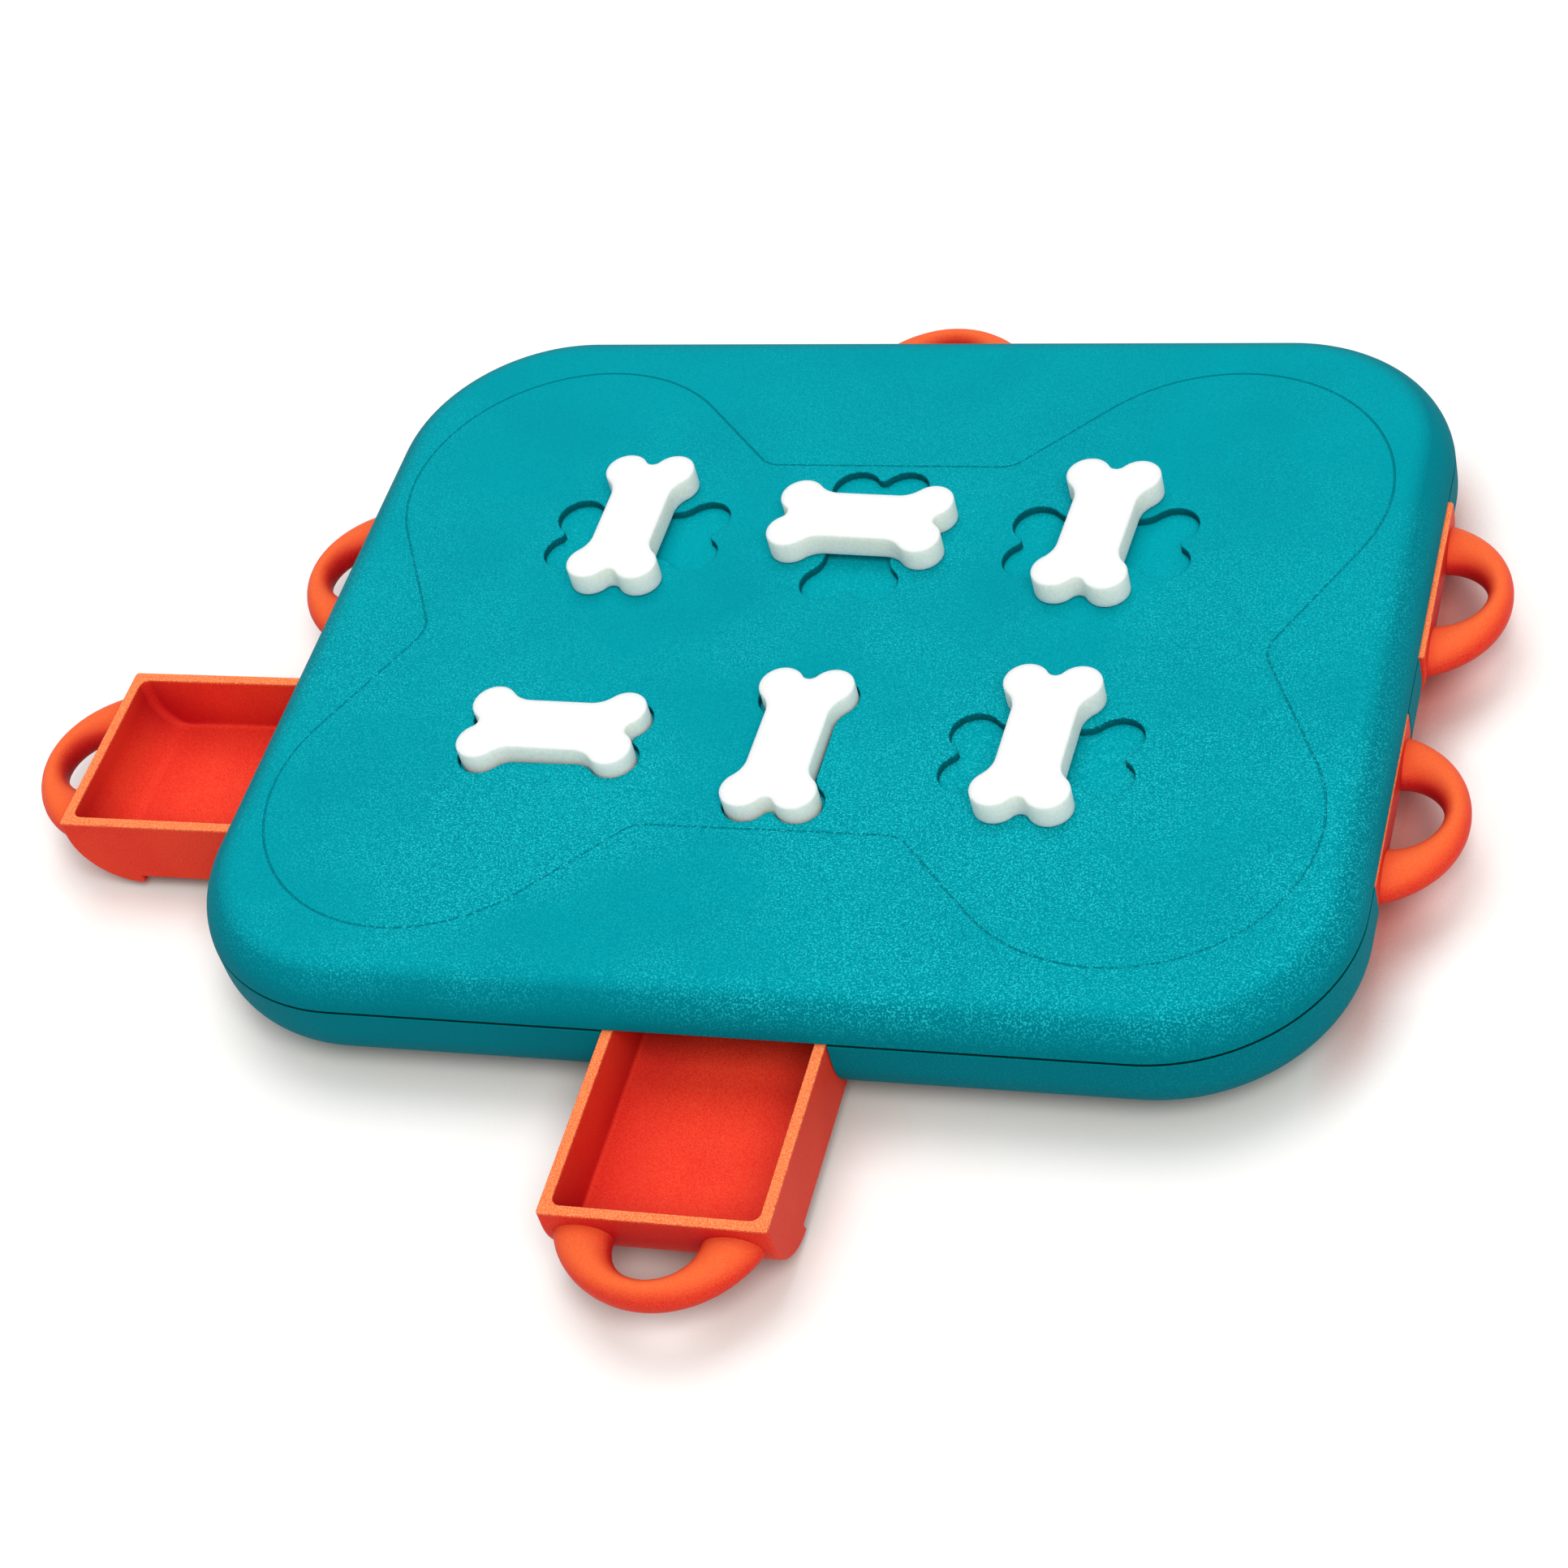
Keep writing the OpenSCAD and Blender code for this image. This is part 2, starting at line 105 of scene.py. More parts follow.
LOCK_INSET = 90
ROW_Y = 40.1
LOBE_R = 6.2
LOBE_X = 19.25
LOBE_Y = 7.2
WAIST_W = 17.7
WAIST_R = 8
NOTCH_OUT = 2.4
BONE_T = 7.4
BONE_SOFT = 0.5
RECESS_DEPTH = 2.6
RECESS_GAP = 0.75
RECESS_SOFT = 0.35
POCKET_WALL = 2.4
STEM_D = 8
BORE_D = 8.12
BOSS_D = 14
BOSS_Z = 30.4
KEY_LEN = 6
KEY_W = 2.6
KEY_H = 0.6
PILOT_D = 2.3
PILOT_DEPTH = 5.2
# How far the sunk bones and each raised bone stand turned from their recesses.
SUNK_TURN = -1.1
TURNS = {
    "back_left": 89.3,
    "back_mid": 87.3,
    "back_right": 86.8,
    "front_right": 88.8,
}

# ---- engraved outline of the cover's big bone ----

LINE_LOBE = (95.8, 61.3)
LINE_LOBE_R = 49.1
LINE_END_X = 119.6
LINE_END_R = 10
LINE_WAIST = (36.5, 70.3)
LINE_WAIST_R = 8
LINE_HALF_W = 0.45
LINE_DEPTH = 0.3

# ---- fasteners ----

POST_D = 11
SHANK_HOLE_D = 4.1
HEAD_HOLE_D = 7.8
HEAD_SEAT_Z = 8.4
COVER_HOLE_Z = 35.2
FOOT_SEAT_D = 16.1
FOOT_SEAT = 0.8
CORNER_POST = (HALF_W - 30, HALF_D - 31.5)
MID_POST = (48, HALF_D - 27.5)
FOOT_SPOT = (HALF_W - 46, HALF_D - 45.5)

# ---- drawers ----

DRAWER_W = 60
DRAWER_LEN = 100
DRAWER_WALL = 3
DRAWER_FLOOR = 2.5
DRAWER_Z = 5.6
FRONT_EDGE_R = 18
CHIN_LEN = 18.5
INNER_R = 2.5
RIM_SOFT = 0.35
OUTER_R = 0.9
FLOOR_SOFT = 1.2
NOTCH_W = 10.8
NOTCH_DEPTH = 2.9
NOTCH_LEN = DRAWER_WALL * 1.5
TRAVEL = 70
LUG_GAP = 0.2
LUG_OUT = 2
LUG_ROOT = 1
LUG_T = 3
LUG_DROP = 3
LUG_Z = (BASE_Z + UNDER_EDGE_R + LUG_GAP, RIM_Z - LUG_DROP)
LUG_X = -TRAY_WALL - TRAVEL - LUG_GAP
BAY_W = 64.8
BAY_GAP = 0.4
BAY_BACK = DRAWER_LEN + BAY_GAP
GUIDE_DROP = 1.4

# ---- handles ----

HANDLE_W = 55
HANDLE_T = 10
HANDLE_DROP = 8.4
FINGER_R = 11.3
HANDLE_BOW = 6.8
HANDLE_ROOT = 2

# How far a cutting tool reaches past what it cuts.
OVERCUT = 5

# Place of each drawer at the board's edge, the way that it opens and how far it stands open.
DRAWERS = {
    "drawer_front": ((0, -HALF_D), -90, 57),
    "drawer_back": ((0, HALF_D), 90, 0),
    "drawer_left_front": ((-HALF_W, -ROW_Y), 180, 55),
    "drawer_left_back": ((-HALF_W, ROW_Y), 180, 0),
    "drawer_right_front": ((HALF_W, -ROW_Y), 0, 0),
    "drawer_right_back": ((HALF_W, ROW_Y), 0, 1.2),
}
# Place of each lock and the turn of its recess.
LOCKS = {
    f"{row}_{column}": (
        sx * (HALF_W - LOCK_INSET),
        sy * (ROW_Y if sx else HALF_D - LOCK_INSET),
        0 if sx else 90,
    )
    for row, sy in (("front", -1), ("back", 1))
    for column, sx in (("left", -1), ("mid", 0), ("right", 1))
}


# ---- plan outlines, counter-clockwise ----

def arc(centre, radius, start, end, steps):
    """Points on an arc between two angles, both ends included."""
    turns = [math.radians(start + (end - start) * i / steps) for i in range(steps + 1)]
    return [(centre[0] + radius * math.cos(a), centre[1] + radius * math.sin(a)) for a in turns]


def circle(centre, radius, steps):
    return arc(centre, radius, 0, 360, steps)[:-1]


def rectangle(x0, x1, y0, y1):
    return [(x0, y0), (x1, y0), (x1, y1), (x0, y1)]


def rounded_rect(half_w, half_d, radius, steps=8):
    """Rectangle about the origin with round corners."""
    points = []
    for i, (sx, sy) in enumerate(((1, 1), (-1, 1), (-1, -1), (1, -1))):
        centre = (sx * (half_w - radius), sy * (half_d - radius))
        points += arc(centre, radius, 90 * i, 90 * i + 90, steps)
    return points


def board_plan(inset):
    return rounded_rect(HALF_W - inset, HALF_D - inset, CORNER_R - inset, 32)


def mirrored(quarter):
    """Closed outline from its first quarter, which runs from the X axis round towards the Y axis."""
    half = quarter + [(-x, y) for x, y in reversed(quarter)]
    whole = half + [(-x, -y) for x, y in half]
    return [p for i, p in enumerate(whole) if math.dist(p, whole[i - 1]) > SAME_IN_PLAN]


def bearing(start, end):
    return math.degrees(math.atan2(end[1] - start[1], end[0] - start[0]))


def bone_plan():
    """Outline of a bone lying along X: round lobes, a soft notch in each end and a soft waist."""
    lobe = (LOBE_X, LOBE_Y)
    notch_r = (NOTCH_OUT**2 + LOBE_Y**2 - LOBE_R**2) / (2 * (LOBE_R - NOTCH_OUT))
    notch = (LOBE_X + NOTCH_OUT + notch_r, 0)
    waist_y = WAIST_W / 2 + WAIST_R
    waist = (LOBE_X - math.sqrt((WAIST_R + LOBE_R) ** 2 - (waist_y - LOBE_Y) ** 2), waist_y)
    quarter = arc(notch, notch_r, 180, bearing(notch, lobe), 6)
    quarter += arc(lobe, LOBE_R, bearing(lobe, notch), bearing(lobe, waist), 26)[1:]
    quarter += arc(waist, WAIST_R, bearing(waist, lobe), -90, 8)[1:]
    return mirrored(quarter)


def touch(point, centre, radius, side):
    """Bearing at which the tangent from an outside point meets a circle."""
    return bearing(centre, point) + side * math.degrees(math.acos(radius / math.dist(point, centre)))


def rounded_corner(before, corner, after, radius, steps):
    """Arc that rounds the corner between two straight lines."""
    to_before = (Vector(before) - Vector(corner)).normalized()
    to_after = (Vector(after) - Vector(corner)).normalized()
    half = to_before.angle(to_after) / 2
    centre = Vector(corner) + (to_before + to_after).normalized() * radius / math.sin(half)
    run = radius / math.tan(half)
    start = bearing(centre, Vector(corner) + to_before * run)
    turn = (bearing(centre, Vector(corner) + to_after * run) - start + 180) % 360 - 180
    return arc(centre, radius, start, start + turn, steps)


def engraved_plan():
    """Outline of the big bone that is engraved in the cover."""
    end = (LINE_END_X, 0)
    start_turn = touch(end, LINE_LOBE, LINE_LOBE_R, 1)
    end_turn = touch(LINE_WAIST, LINE_LOBE, LINE_LOBE_R, -1) % 360
    lobe = arc(LINE_LOBE, LINE_LOBE_R, start_turn, end_turn, 48)
    below = (lobe[0][0], -lobe[0][1])
    notch = rounded_corner(below, end, lobe[0], LINE_END_R, 12)
    waist = rounded_corner(lobe[-1], LINE_WAIST, (0, LINE_WAIST[1]), LINE_WAIST_R, 8)
    return mirrored([(notch[6][0], 0)] + notch[7:] + lobe + waist)


def grow(outline, gap):
    """The outline moved outward by a gap."""
    grown = []
    for i, point in enumerate(outline):
        here = Vector(point)
        into = (here - Vector(outline[i - 1])).normalized()
        out = (Vector(outline[(i + 1) % len(outline)]) - here).normalized()
        normal = Vector((into.y + out.y, -into.x - out.x)).normalized()
        grown.append(tuple(here + normal * gap / normal.dot(Vector((out.y, -out.x)))))
    return grown


def placed(outline, spot, turn):
    """The outline turned and moved to a spot in plan."""
    c, s = math.cos(math.radians(turn)), math.sin(math.radians(turn))
    return [(spot[0] + c * x - s * y, spot[1] + s * x + c * y) for x, y in outline]


# ---- meshes ----

class Skin:
    """A closed mesh, built from rings of points."""

    def __init__(self):
        self.mesh = bmesh.new()

    def ring(self, outline, z):
        return [self.mesh.verts.new((x * MM, y * MM, z * MM)) for x, y in outline]

    def tube(self, centre, diameter, *heights, steps=48):
        """Rings of a round tube, one at each height."""
        return [self.ring(circle(centre, diameter / 2, steps), z) for z in heights]

    def wall(self, *rings):
        """Joins each ring to the next, point by point."""
        for near, far in zip(rings, rings[1:]):
            for i in range(len(near)):
                self.mesh.faces.new((near[i - 1], near[i], far[i], far[i - 1]))

    def cap(self, *rings):
        """Fills the flat area inside the first ring and outside the others."""
        edges = []
        for ring in rings:
            ring = [v for i, v in enumerate(ring) if (v.co - ring[i - 1].co).length > SAME_POINT]
            for i in range(len(ring)):
                ends = (ring[i - 1], ring[i])
                edges.append(self.mesh.edges.get(ends) or self.mesh.edges.new(ends))
        bmesh.ops.triangle_fill(self.mesh, use_beauty=True, use_dissolve=False, edges=edges)

    def build(self, name):
        bmesh.ops.remove_doubles(self.mesh, verts=self.mesh.verts, dist=SAME_POINT)
        bmesh.ops.dissolve_degenerate(self.mesh, edges=self.mesh.edges, dist=SAME_POINT)
        bmesh.ops.recalc_face_normals(self.mesh, faces=self.mesh.faces)
        data = bpy.data.meshes.new(name)
        self.mesh.to_mesh(data)
        self.mesh.free()
        piece = bpy.data.objects.new(name, data)
        bpy.context.scene.collection.objects.link(piece)
        return piece


def block(x0, x1, y0, y1, z0, z1):
    """A plain box, used only to cut or to join."""
    skin = Skin()
    low = skin.ring(rectangle(x0, x1, y0, y1), z0)
    high = skin.ring(rectangle(x0, x1, y0, y1), z1)
    skin.wall(low, high)
    skin.cap(low)
    skin.cap(high)
    return skin.build("tool")


def carve(piece, tool, operation):
    """Joins a tool to a piece or cuts it out of it, and deletes the tool."""
    modifier = piece.modifiers.new("carve", "BOOLEAN")
    modifier.operation = operation
    modifier.solver = "EXACT"
    modifier.object = tool
    bake_modifiers(piece)
    bpy.data.objects.remove(tool)
    close_slivers(piece)


def close_slivers(piece):
    """Removes the doubled slivers that a boolean can leave along a seam."""
    mesh = bmesh.new()
    mesh.from_mesh(piece.data)
    bmesh.ops.remove_doubles(mesh, verts=mesh.verts, dist=SLIVER)
    bmesh.ops.triangulate(mesh, faces=mesh.faces)
    # one triangle is left of a doubled pair, and it has open edges
    loose = [face for face in mesh.faces if any(edge.is_boundary for edge in face.edges)]
    bmesh.ops.delete(mesh, geom=loose, context="FACES")
    mesh.to_mesh(piece.data)
    mesh.free()


def bake_modifiers(piece):
    bpy.context.view_layer.update()
    evaluated = piece.evaluated_get(bpy.context.evaluated_depsgraph_get())
    data = bpy.data.meshes.new_from_object(evaluated)
    piece.modifiers.clear()
    piece.data = data


def shade(piece):
    """Smooth shading with sharp creases, and flat areas that stay flat."""
    piece.data.shade_smooth()
    piece.data.set_sharp_from_angle(angle=math.radians(CREASE))
    modifier = piece.modifiers.new("flat areas", "WEIGHTED_NORMAL")
    modifier.keep_sharp = True
    modifier.weight = 100


def settle(piece, body, node, material):
    """Puts a finished piece in place of its CAD node."""
    piece.data.materials.clear()
    piece.data.materials.append(material)
    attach(piece, body)
    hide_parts(node)


def sweep(steps, start=0, end=90):
    """Sines and cosines of evenly spaced angles."""
    angles = [math.radians(start + (end - start) * i / steps) for i in range(steps + 1)]
    return [(math.sin(a), math.cos(a)) for a in angles]


def posts():
    spots = [(0, 0)]
    for place in (CORNER_POST, MID_POST):
        spots += [(sx * place[0], sy * place[1]) for sx in (-1, 1) for sy in (-1, 1)]
    return spots


def feet():
    return [(0, 0)] + [(sx * FOOT_SPOT[0], sy * FOOT_SPOT[1]) for sx in (-1, 1) for sy in (-1, 1)]


# ---- top cover ----

def recess(skin, x, y, turn, underside):
    """One bone's recess, with its bore, pocket and boss. Returns its open rings, above and below."""
    def plan(gap, z):
        return skin.ring(placed(grow(bone_plan(), gap), (x, y), turn), z)

    floor_z = TOP_Z - RECESS_DEPTH
    pocket_z = floor_z - POCKET_WALL
    mouth = [
        plan(RECESS_GAP + RECESS_SOFT * (1 - c), TOP_Z - RECESS_SOFT * (1 - s))
        for s, c in sweep(4, 90, 0)
    ]
    foot = [
        plan(RECESS_GAP - RECESS_SOFT * (1 - c), floor_z + RECESS_SOFT * (1 - s))
        for s, c in sweep(3)
    ]
    skin.wall(*mouth, *foot)
    bore = skin.tube((x, y), BORE_D, floor_z, BOSS_Z)
    boss = skin.tube((x, y), BOSS_D, BOSS_Z, pocket_z)
    skin.cap(foot[-1], bore[0])
    skin.wall(*bore, *boss)
    radius = LOBE_R + RECESS_GAP + POCKET_WALL
    pocket = placed(rounded_rect(LOBE_X + radius, LOBE_Y + radius, radius), (x, y), turn)
    pocket_rings = [skin.ring(pocket, z) for z in (pocket_z, underside)]
    skin.cap(pocket_rings[0], boss[-1])
    skin.wall(*pocket_rings)
    return mouth[0], pocket_rings[-1]


def top_cover(material):
    skin = Skin()

    def plan(inset, z):
        return skin.ring(board_plan(inset), z)

    centre_z = TOP_Z - TOP_EDGE_R
    seam_turn = math.degrees(math.asin((SEAM_Z + EDGE_SOFT - centre_z) / TOP_EDGE_R))
    roll = [plan(TOP_EDGE_R * (1 - c), centre_z + TOP_EDGE_R * s) for s, c in sweep(18, 90, seam_turn)]
    side_inset = TOP_EDGE_R * (1 - math.cos(math.radians(seam_turn)))
    lower = [
        plan(side_inset + EDGE_SOFT * (1 - c), SEAM_Z + EDGE_SOFT * (1 - s))
        for s, c in sweep(3)[1:]
    ]
    groove_top = SEAM_Z + LIP_H + LIP_GAP
    inner_r = TOP_EDGE_R - COVER_WALL
    inner_turn = math.degrees(math.asin((groove_top - centre_z) / inner_r))
    inside = [plan(LIP_INSET - LIP_GAP, SEAM_Z), plan(LIP_INSET - LIP_GAP, groove_top)]
    inside += [
        plan(TOP_EDGE_R - inner_r * c, centre_z + inner_r * s)
        for s, c in sweep(8, inner_turn, 90)
    ]
    skin.wall(*roll, *lower, *inside)

    line = engraved_plan()
    groove = [
        skin.ring(grow(line, LINE_HALF_W * t), TOP_Z - LINE_DEPTH * math.cos(math.radians(90 * t)) ** 2)
        for t in (1, 0.75, 0.5, 0.25, 0, -0.25, -0.5, -0.75, -1)
    ]
    skin.cap(roll[0], groove[0])
    skin.wall(*groove)

    underside = TOP_Z - COVER_WALL
    open_rings = [recess(skin, x, y, turn, underside) for x, y, turn in LOCKS.values()]
    skin.cap(groove[-1], *[top for top, _ in open_rings])
    post_rings = []
    for spot in posts():
        post = skin.tube(spot, POST_D, underside, SEAM_Z)
        hole = skin.tube(spot, SHANK_HOLE_D, SEAM_Z, COVER_HOLE_Z)
        skin.wall(*post, *hole)
        skin.cap(hole[-1])
        post_rings.append(post[0])
    skin.cap(inside[-1], *[low for _, low in open_rings], *post_rings)
    piece = skin.build("cover_shell")
    shade(piece)
    settle(piece, "board", "top_cover", material)


# ---- base tray ----

def guide_ribs(skin, spot, turn):
    """U-shaped guide of one drawer, rising from the tray's floor. Returns its lowest ring."""
    wide, back, front = BAY_W / 2, -BAY_BACK, -CHIN_CUT
    outline = [
        (back - RIB_T, -wide - RIB_T), (front, -wide - RIB_T), (front, -wide), (back, -wide),
        (back, wide), (front, wide), (front, wide + RIB_T), (back - RIB_T, wide + RIB_T),
    ]
    outline = placed(outline, spot, turn)
    rings = [skin.ring(outline, z) for z in (BASE_Z + TRAY_WALL, RIM_Z - GUIDE_DROP)]
    skin.wall(*rings)
    skin.cap(rings[-1])
    return rings[0]


def base_tray(material):
    skin = Skin()

    def plan(inset, z):
        return skin.ring(board_plan(inset), z)

    centre_z = BASE_Z + UNDER_EDGE_R
    inner_r = UNDER_EDGE_R - TRAY_WALL
    ledge_z = SEAM_Z - SEAM_GAP
    outside = [plan(UNDER_EDGE_R - UNDER_EDGE_R * s, centre_z - UNDER_EDGE_R * c) for s, c in sweep(18)]
    outside += [plan(EDGE_SOFT * (1 - c), ledge_z - EDGE_SOFT * (1 - s)) for s, c in sweep(3)]
    lip_top = SEAM_Z + LIP_H
    outside += [plan(SEAM_DEPTH, ledge_z), plan(SEAM_DEPTH, SEAM_Z)]
    outside += [plan(LIP_INSET, SEAM_Z), plan(LIP_INSET, lip_top)]
    inside = [plan(TRAY_WALL, lip_top)]
    inside += [plan(UNDER_EDGE_R - inner_r * s, centre_z - inner_r * c) for s, c in sweep(8, 90, 0)]
    skin.wall(*outside, *inside)

    floor_z = BASE_Z + TRAY_WALL
    below, above = [], []
    for spot in feet():
        seat = skin.tube(spot, FOOT_SEAT_D, BASE_Z, BASE_Z + FOOT_SEAT)
        skin.wall(*seat)
        below.append(seat[0])
        if spot == (0, 0):
            centre_seat = seat[-1]
        else:
            skin.cap(seat[-1])
    for spot in posts():
        hidden = spot == (0, 0)
        head = skin.tube(spot, HEAD_HOLE_D, BASE_Z + FOOT_SEAT * hidden, HEAD_SEAT_Z)
        shank = skin.tube(spot, SHANK_HOLE_D, HEAD_SEAT_Z, SEAM_Z)
        post = skin.tube(spot, POST_D, SEAM_Z, floor_z)
        skin.wall(*head, *shank, *post)
        above.append(post[-1])
        if hidden:
            skin.cap(centre_seat, head[0])
        else:
            below.append(head[0])
    above += [guide_ribs(skin, spot, turn) for spot, turn, _ in DRAWERS.values()]
    skin.cap(outside[0], *below)
    skin.cap(inside[-1], *above)
    piece = skin.build("tray_shell")
    for spot, turn, _ in DRAWERS.values():
        tool = block(
            -CHIN_CUT, OVERCUT, -OPENING_W / 2, OPENING_W / 2, BASE_Z - OVERCUT, SEAM_Z + OVERCUT
        )
        tool.data.transform(stand(spot, turn))
        carve(piece, tool, "DIFFERENCE")
    shade(piece)
    settle(piece, "board", "base_tray", material)


# ---- drawers ----

def stand(spot, turn, out=0):
    """Transform from a drawer's own frame, with its shut front at X = 0, to its place on the board."""
    place = Matrix.Translation((spot[0] * MM, spot[1] * MM, 0))
    return place @ Matrix.Rotation(math.radians(turn), 4, "Z") @ Matrix.Translation((out * MM, 0, 0))


def rolled_front(z, radius):
    """How far a front that rolls under with this radius lies behind the outer face, at a height."""
    drop = max(0, BASE_Z + FRONT_EDGE_R - z)
    return FRONT_EDGE_R - math.sqrt(max(0, radius**2 - drop**2))


def drawer_plan(front, rear, half_w, front_r, rear_r):
    """Plan of a drawer between two X values, with a point on each side where the chin ends."""
    chin = min(max(-CHIN_LEN, rear + rear_r), front - front_r)
    points = arc((front - front_r, half_w - front_r), front_r, 0, 90, 5)
    points += [(chin, half_w)]
    points += arc((rear + rear_r, half_w - rear_r), rear_r, 90, 180, 5)
    points += arc((rear + rear_r, -half_w + rear_r), rear_r, 180, 270, 5)
    points += [(chin, -half_w)]
    points += arc((front - front_r, -half_w + front_r), front_r, 270, 360, 5)
    return points


def drawer_tray():
    """Drawer without its handle: a deep rolled front, a flat floor and a hollow that follows both."""
    skin = Skin()
    half = DRAWER_W / 2
    step_turn = math.degrees(math.acos((BASE_Z + FRONT_EDGE_R - DRAWER_Z) / FRONT_EDGE_R))

    def outer(z, rear, inset=0):
        front = -rolled_front(z, FRONT_EDGE_R) - inset
        # a plan too short for two full corners has smaller ones
        corner = min(OUTER_R, (front - rear) * 0.4)
        return skin.ring(drawer_plan(front, rear + inset, half - inset, corner, corner), z)

    def inner(z, shrink=0):
        front = -rolled_front(z, FRONT_EDGE_R - DRAWER_WALL) - shrink
        rear = DRAWER_WALL - DRAWER_LEN + shrink
        return skin.ring(drawer_plan(front, rear, half - DRAWER_WALL - shrink, INNER_R, INNER_R), z)

    def roll_height(c):
        return BASE_Z + FRONT_EDGE_R * (1 - c)

    chin = [outer(roll_height(c), -CHIN_LEN) for _, c in sweep(4, 0, step_turn)]
    body = [outer(roll_height(c), -DRAWER_LEN) for _, c in sweep(10, step_turn, 90)]
    rim = [outer(RIM_Z - RIM_SOFT * (1 - s), -DRAWER_LEN, RIM_SOFT * (1 - c)) for s, c in sweep(3)]
    skin.wall(*chin, *body, *rim)
    skin.cap(chin[0])

    floor_z = DRAWER_Z + DRAWER_FLOOR
    mouth = [inner(RIM_Z - RIM_SOFT * (1 - s), -RIM_SOFT * (1 - c)) for s, c in sweep(3, 90, 0)]
    heights = [roll_height(c) for _, c in sweep(10, 90, step_turn)]
    deep = [inner(z) for z in heights if floor_z + FLOOR_SOFT < z < RIM_Z - RIM_SOFT]
    foot = [inner(floor_z + FLOOR_SOFT * (1 - s), FLOOR_SOFT * (1 - c)) for s, c in sweep(4)]
    skin.wall(rim[-1], *mouth, *deep, *foot)
    skin.cap(foot[-1])
    piece = skin.build("drawer_tray")
    notch = block(
        -DRAWER_LEN - OVERCUT, NOTCH_LEN - DRAWER_LEN, -NOTCH_W / 2, NOTCH_W / 2,
        RIM_Z - NOTCH_DEPTH, RIM_Z + OVERCUT,
    )
    carve(piece, notch, "DIFFERENCE")
    for y0, y1 in ((-half - LUG_OUT, LUG_ROOT - half), (half - LUG_ROOT, half + LUG_OUT)):
        carve(piece, block(LUG_X - LUG_T, LUG_X, y0, y1, *LUG_Z), "UNION")
    return piece


def handle_ring():
    """Crescent handle with a rounded section that thickens towards its two roots."""
    back = ((HANDLE_W / 2) ** 2 - HANDLE_REACH**2) / (2 * HANDLE_REACH)
    outer_r = HANDLE_REACH + back
    finger_x = HANDLE_REACH - HANDLE_BOW - FINGER_R
    z = RIM_Z - HANDLE_DROP
    skin = Skin()

    def section(inside, outside):
        """Upright rounded section between an inner and an outer point in plan."""
        middle = (Vector(inside) + Vector(outside)) / 2
        reach = (Vector(outside) - Vector(inside)) / 2
        ring = []
        for s, c in sweep(28, 0, 360)[:-1]:
            x, y = middle + reach * c
            ring.append(skin.mesh.verts.new((x * MM, y * MM, (z + HANDLE_T / 2 * s) * MM)))
        return ring

    sections = []
    for s, c in sweep(44, -90, 90):
        # the ray at this angle from the finger hole's centre meets the outer circle at this distance
        offset = finger_x + back
        distance = -offset * c + math.sqrt(outer_r**2 - (offset * s) ** 2)
        inside = (finger_x + FINGER_R * c, FINGER_R * s)
        sections.append(section(inside, (finger_x + distance * c, distance * s)))
    side = math.sqrt(outer_r**2 - (back - HANDLE_ROOT) ** 2)
    roots = [section((-HANDLE_ROOT, FINGER_R * sy), (-HANDLE_ROOT, side * sy)) for sy in (-1, 1)]
    skin.wall(roots[0], *sections, roots[1])
    skin.cap(roots[0])
    skin.cap(roots[1])
    return skin.build("handle")


def drawers(material):
    """All six drawers, each a copy of one mesh in its own place."""
    pattern = drawer_tray()
    carve(pattern, handle_ring(), "UNION")
    for node, (spot, turn, out) in DRAWERS.items():
        data = pattern.data.copy()
        data.transform(stand(spot, turn, out))
        piece = bpy.data.objects.new(node.replace("drawer", "treat_drawer"), data)
        bpy.context.scene.collection.objects.link(piece)
        shade(piece)
        settle(piece, node + "_body", node, material)
    bpy.data.objects.remove(pattern)


# ---- bones ----

def bone(name, x, y, turn, material):
    """One bone with its stem, key and pilot hole."""
    skin = Skin()
    low, high = node_box("bone_" + name)
    under = high.z - BONE_T
    stem_end = low.z + KEY_H
    turn += TURNS.get(name, SUNK_TURN)

    def plan(gap, z):
        return skin.ring(placed(grow(bone_plan(), gap), (x, y), turn), z)

    lower = [plan(-BONE_SOFT * (1 - c), under + BONE_SOFT * (1 - s)) for s, c in sweep(3, 90, 0)]
    upper = [plan(-BONE_SOFT * (1 - c), high.z - BONE_SOFT * (1 - s)) for s, c in sweep(4)]
    skin.wall(*lower, *upper)
    skin.cap(upper[-1])
    stem = skin.tube((x, y), STEM_D, under, stem_end)
    key_plan = placed(rectangle(-KEY_LEN / 2, KEY_LEN / 2, -KEY_W / 2, KEY_W / 2), (x, y), turn)
    key = [skin.ring(key_plan, z) for z in (stem_end, low.z)]
    pilot = skin.tube((x, y), PILOT_D, low.z, low.z + PILOT_DEPTH, steps=24)
    skin.cap(lower[0], stem[0])
    skin.wall(*stem)
    skin.cap(stem[-1], key[0])
    skin.wall(*key)
    skin.cap(key[-1], pilot[0])
    skin.wall(*pilot)
    skin.cap(pilot[-1])
    piece = skin.build("bone_lock_" + name)
    shade(piece)
    settle(piece, "lock_" + name, "bone_" + name, material)


# ---- materials ----

def linear(red, green, blue):
    """Colour written in sRGB, from 0 to 255, as a shader colour."""
    def one(value):
        share = value / 255
        return share / 12.92 if share <= 0.04045 else ((share + 0.055) / 1.055) ** 2.4
    return (one(red), one(green), one(blue), 1)


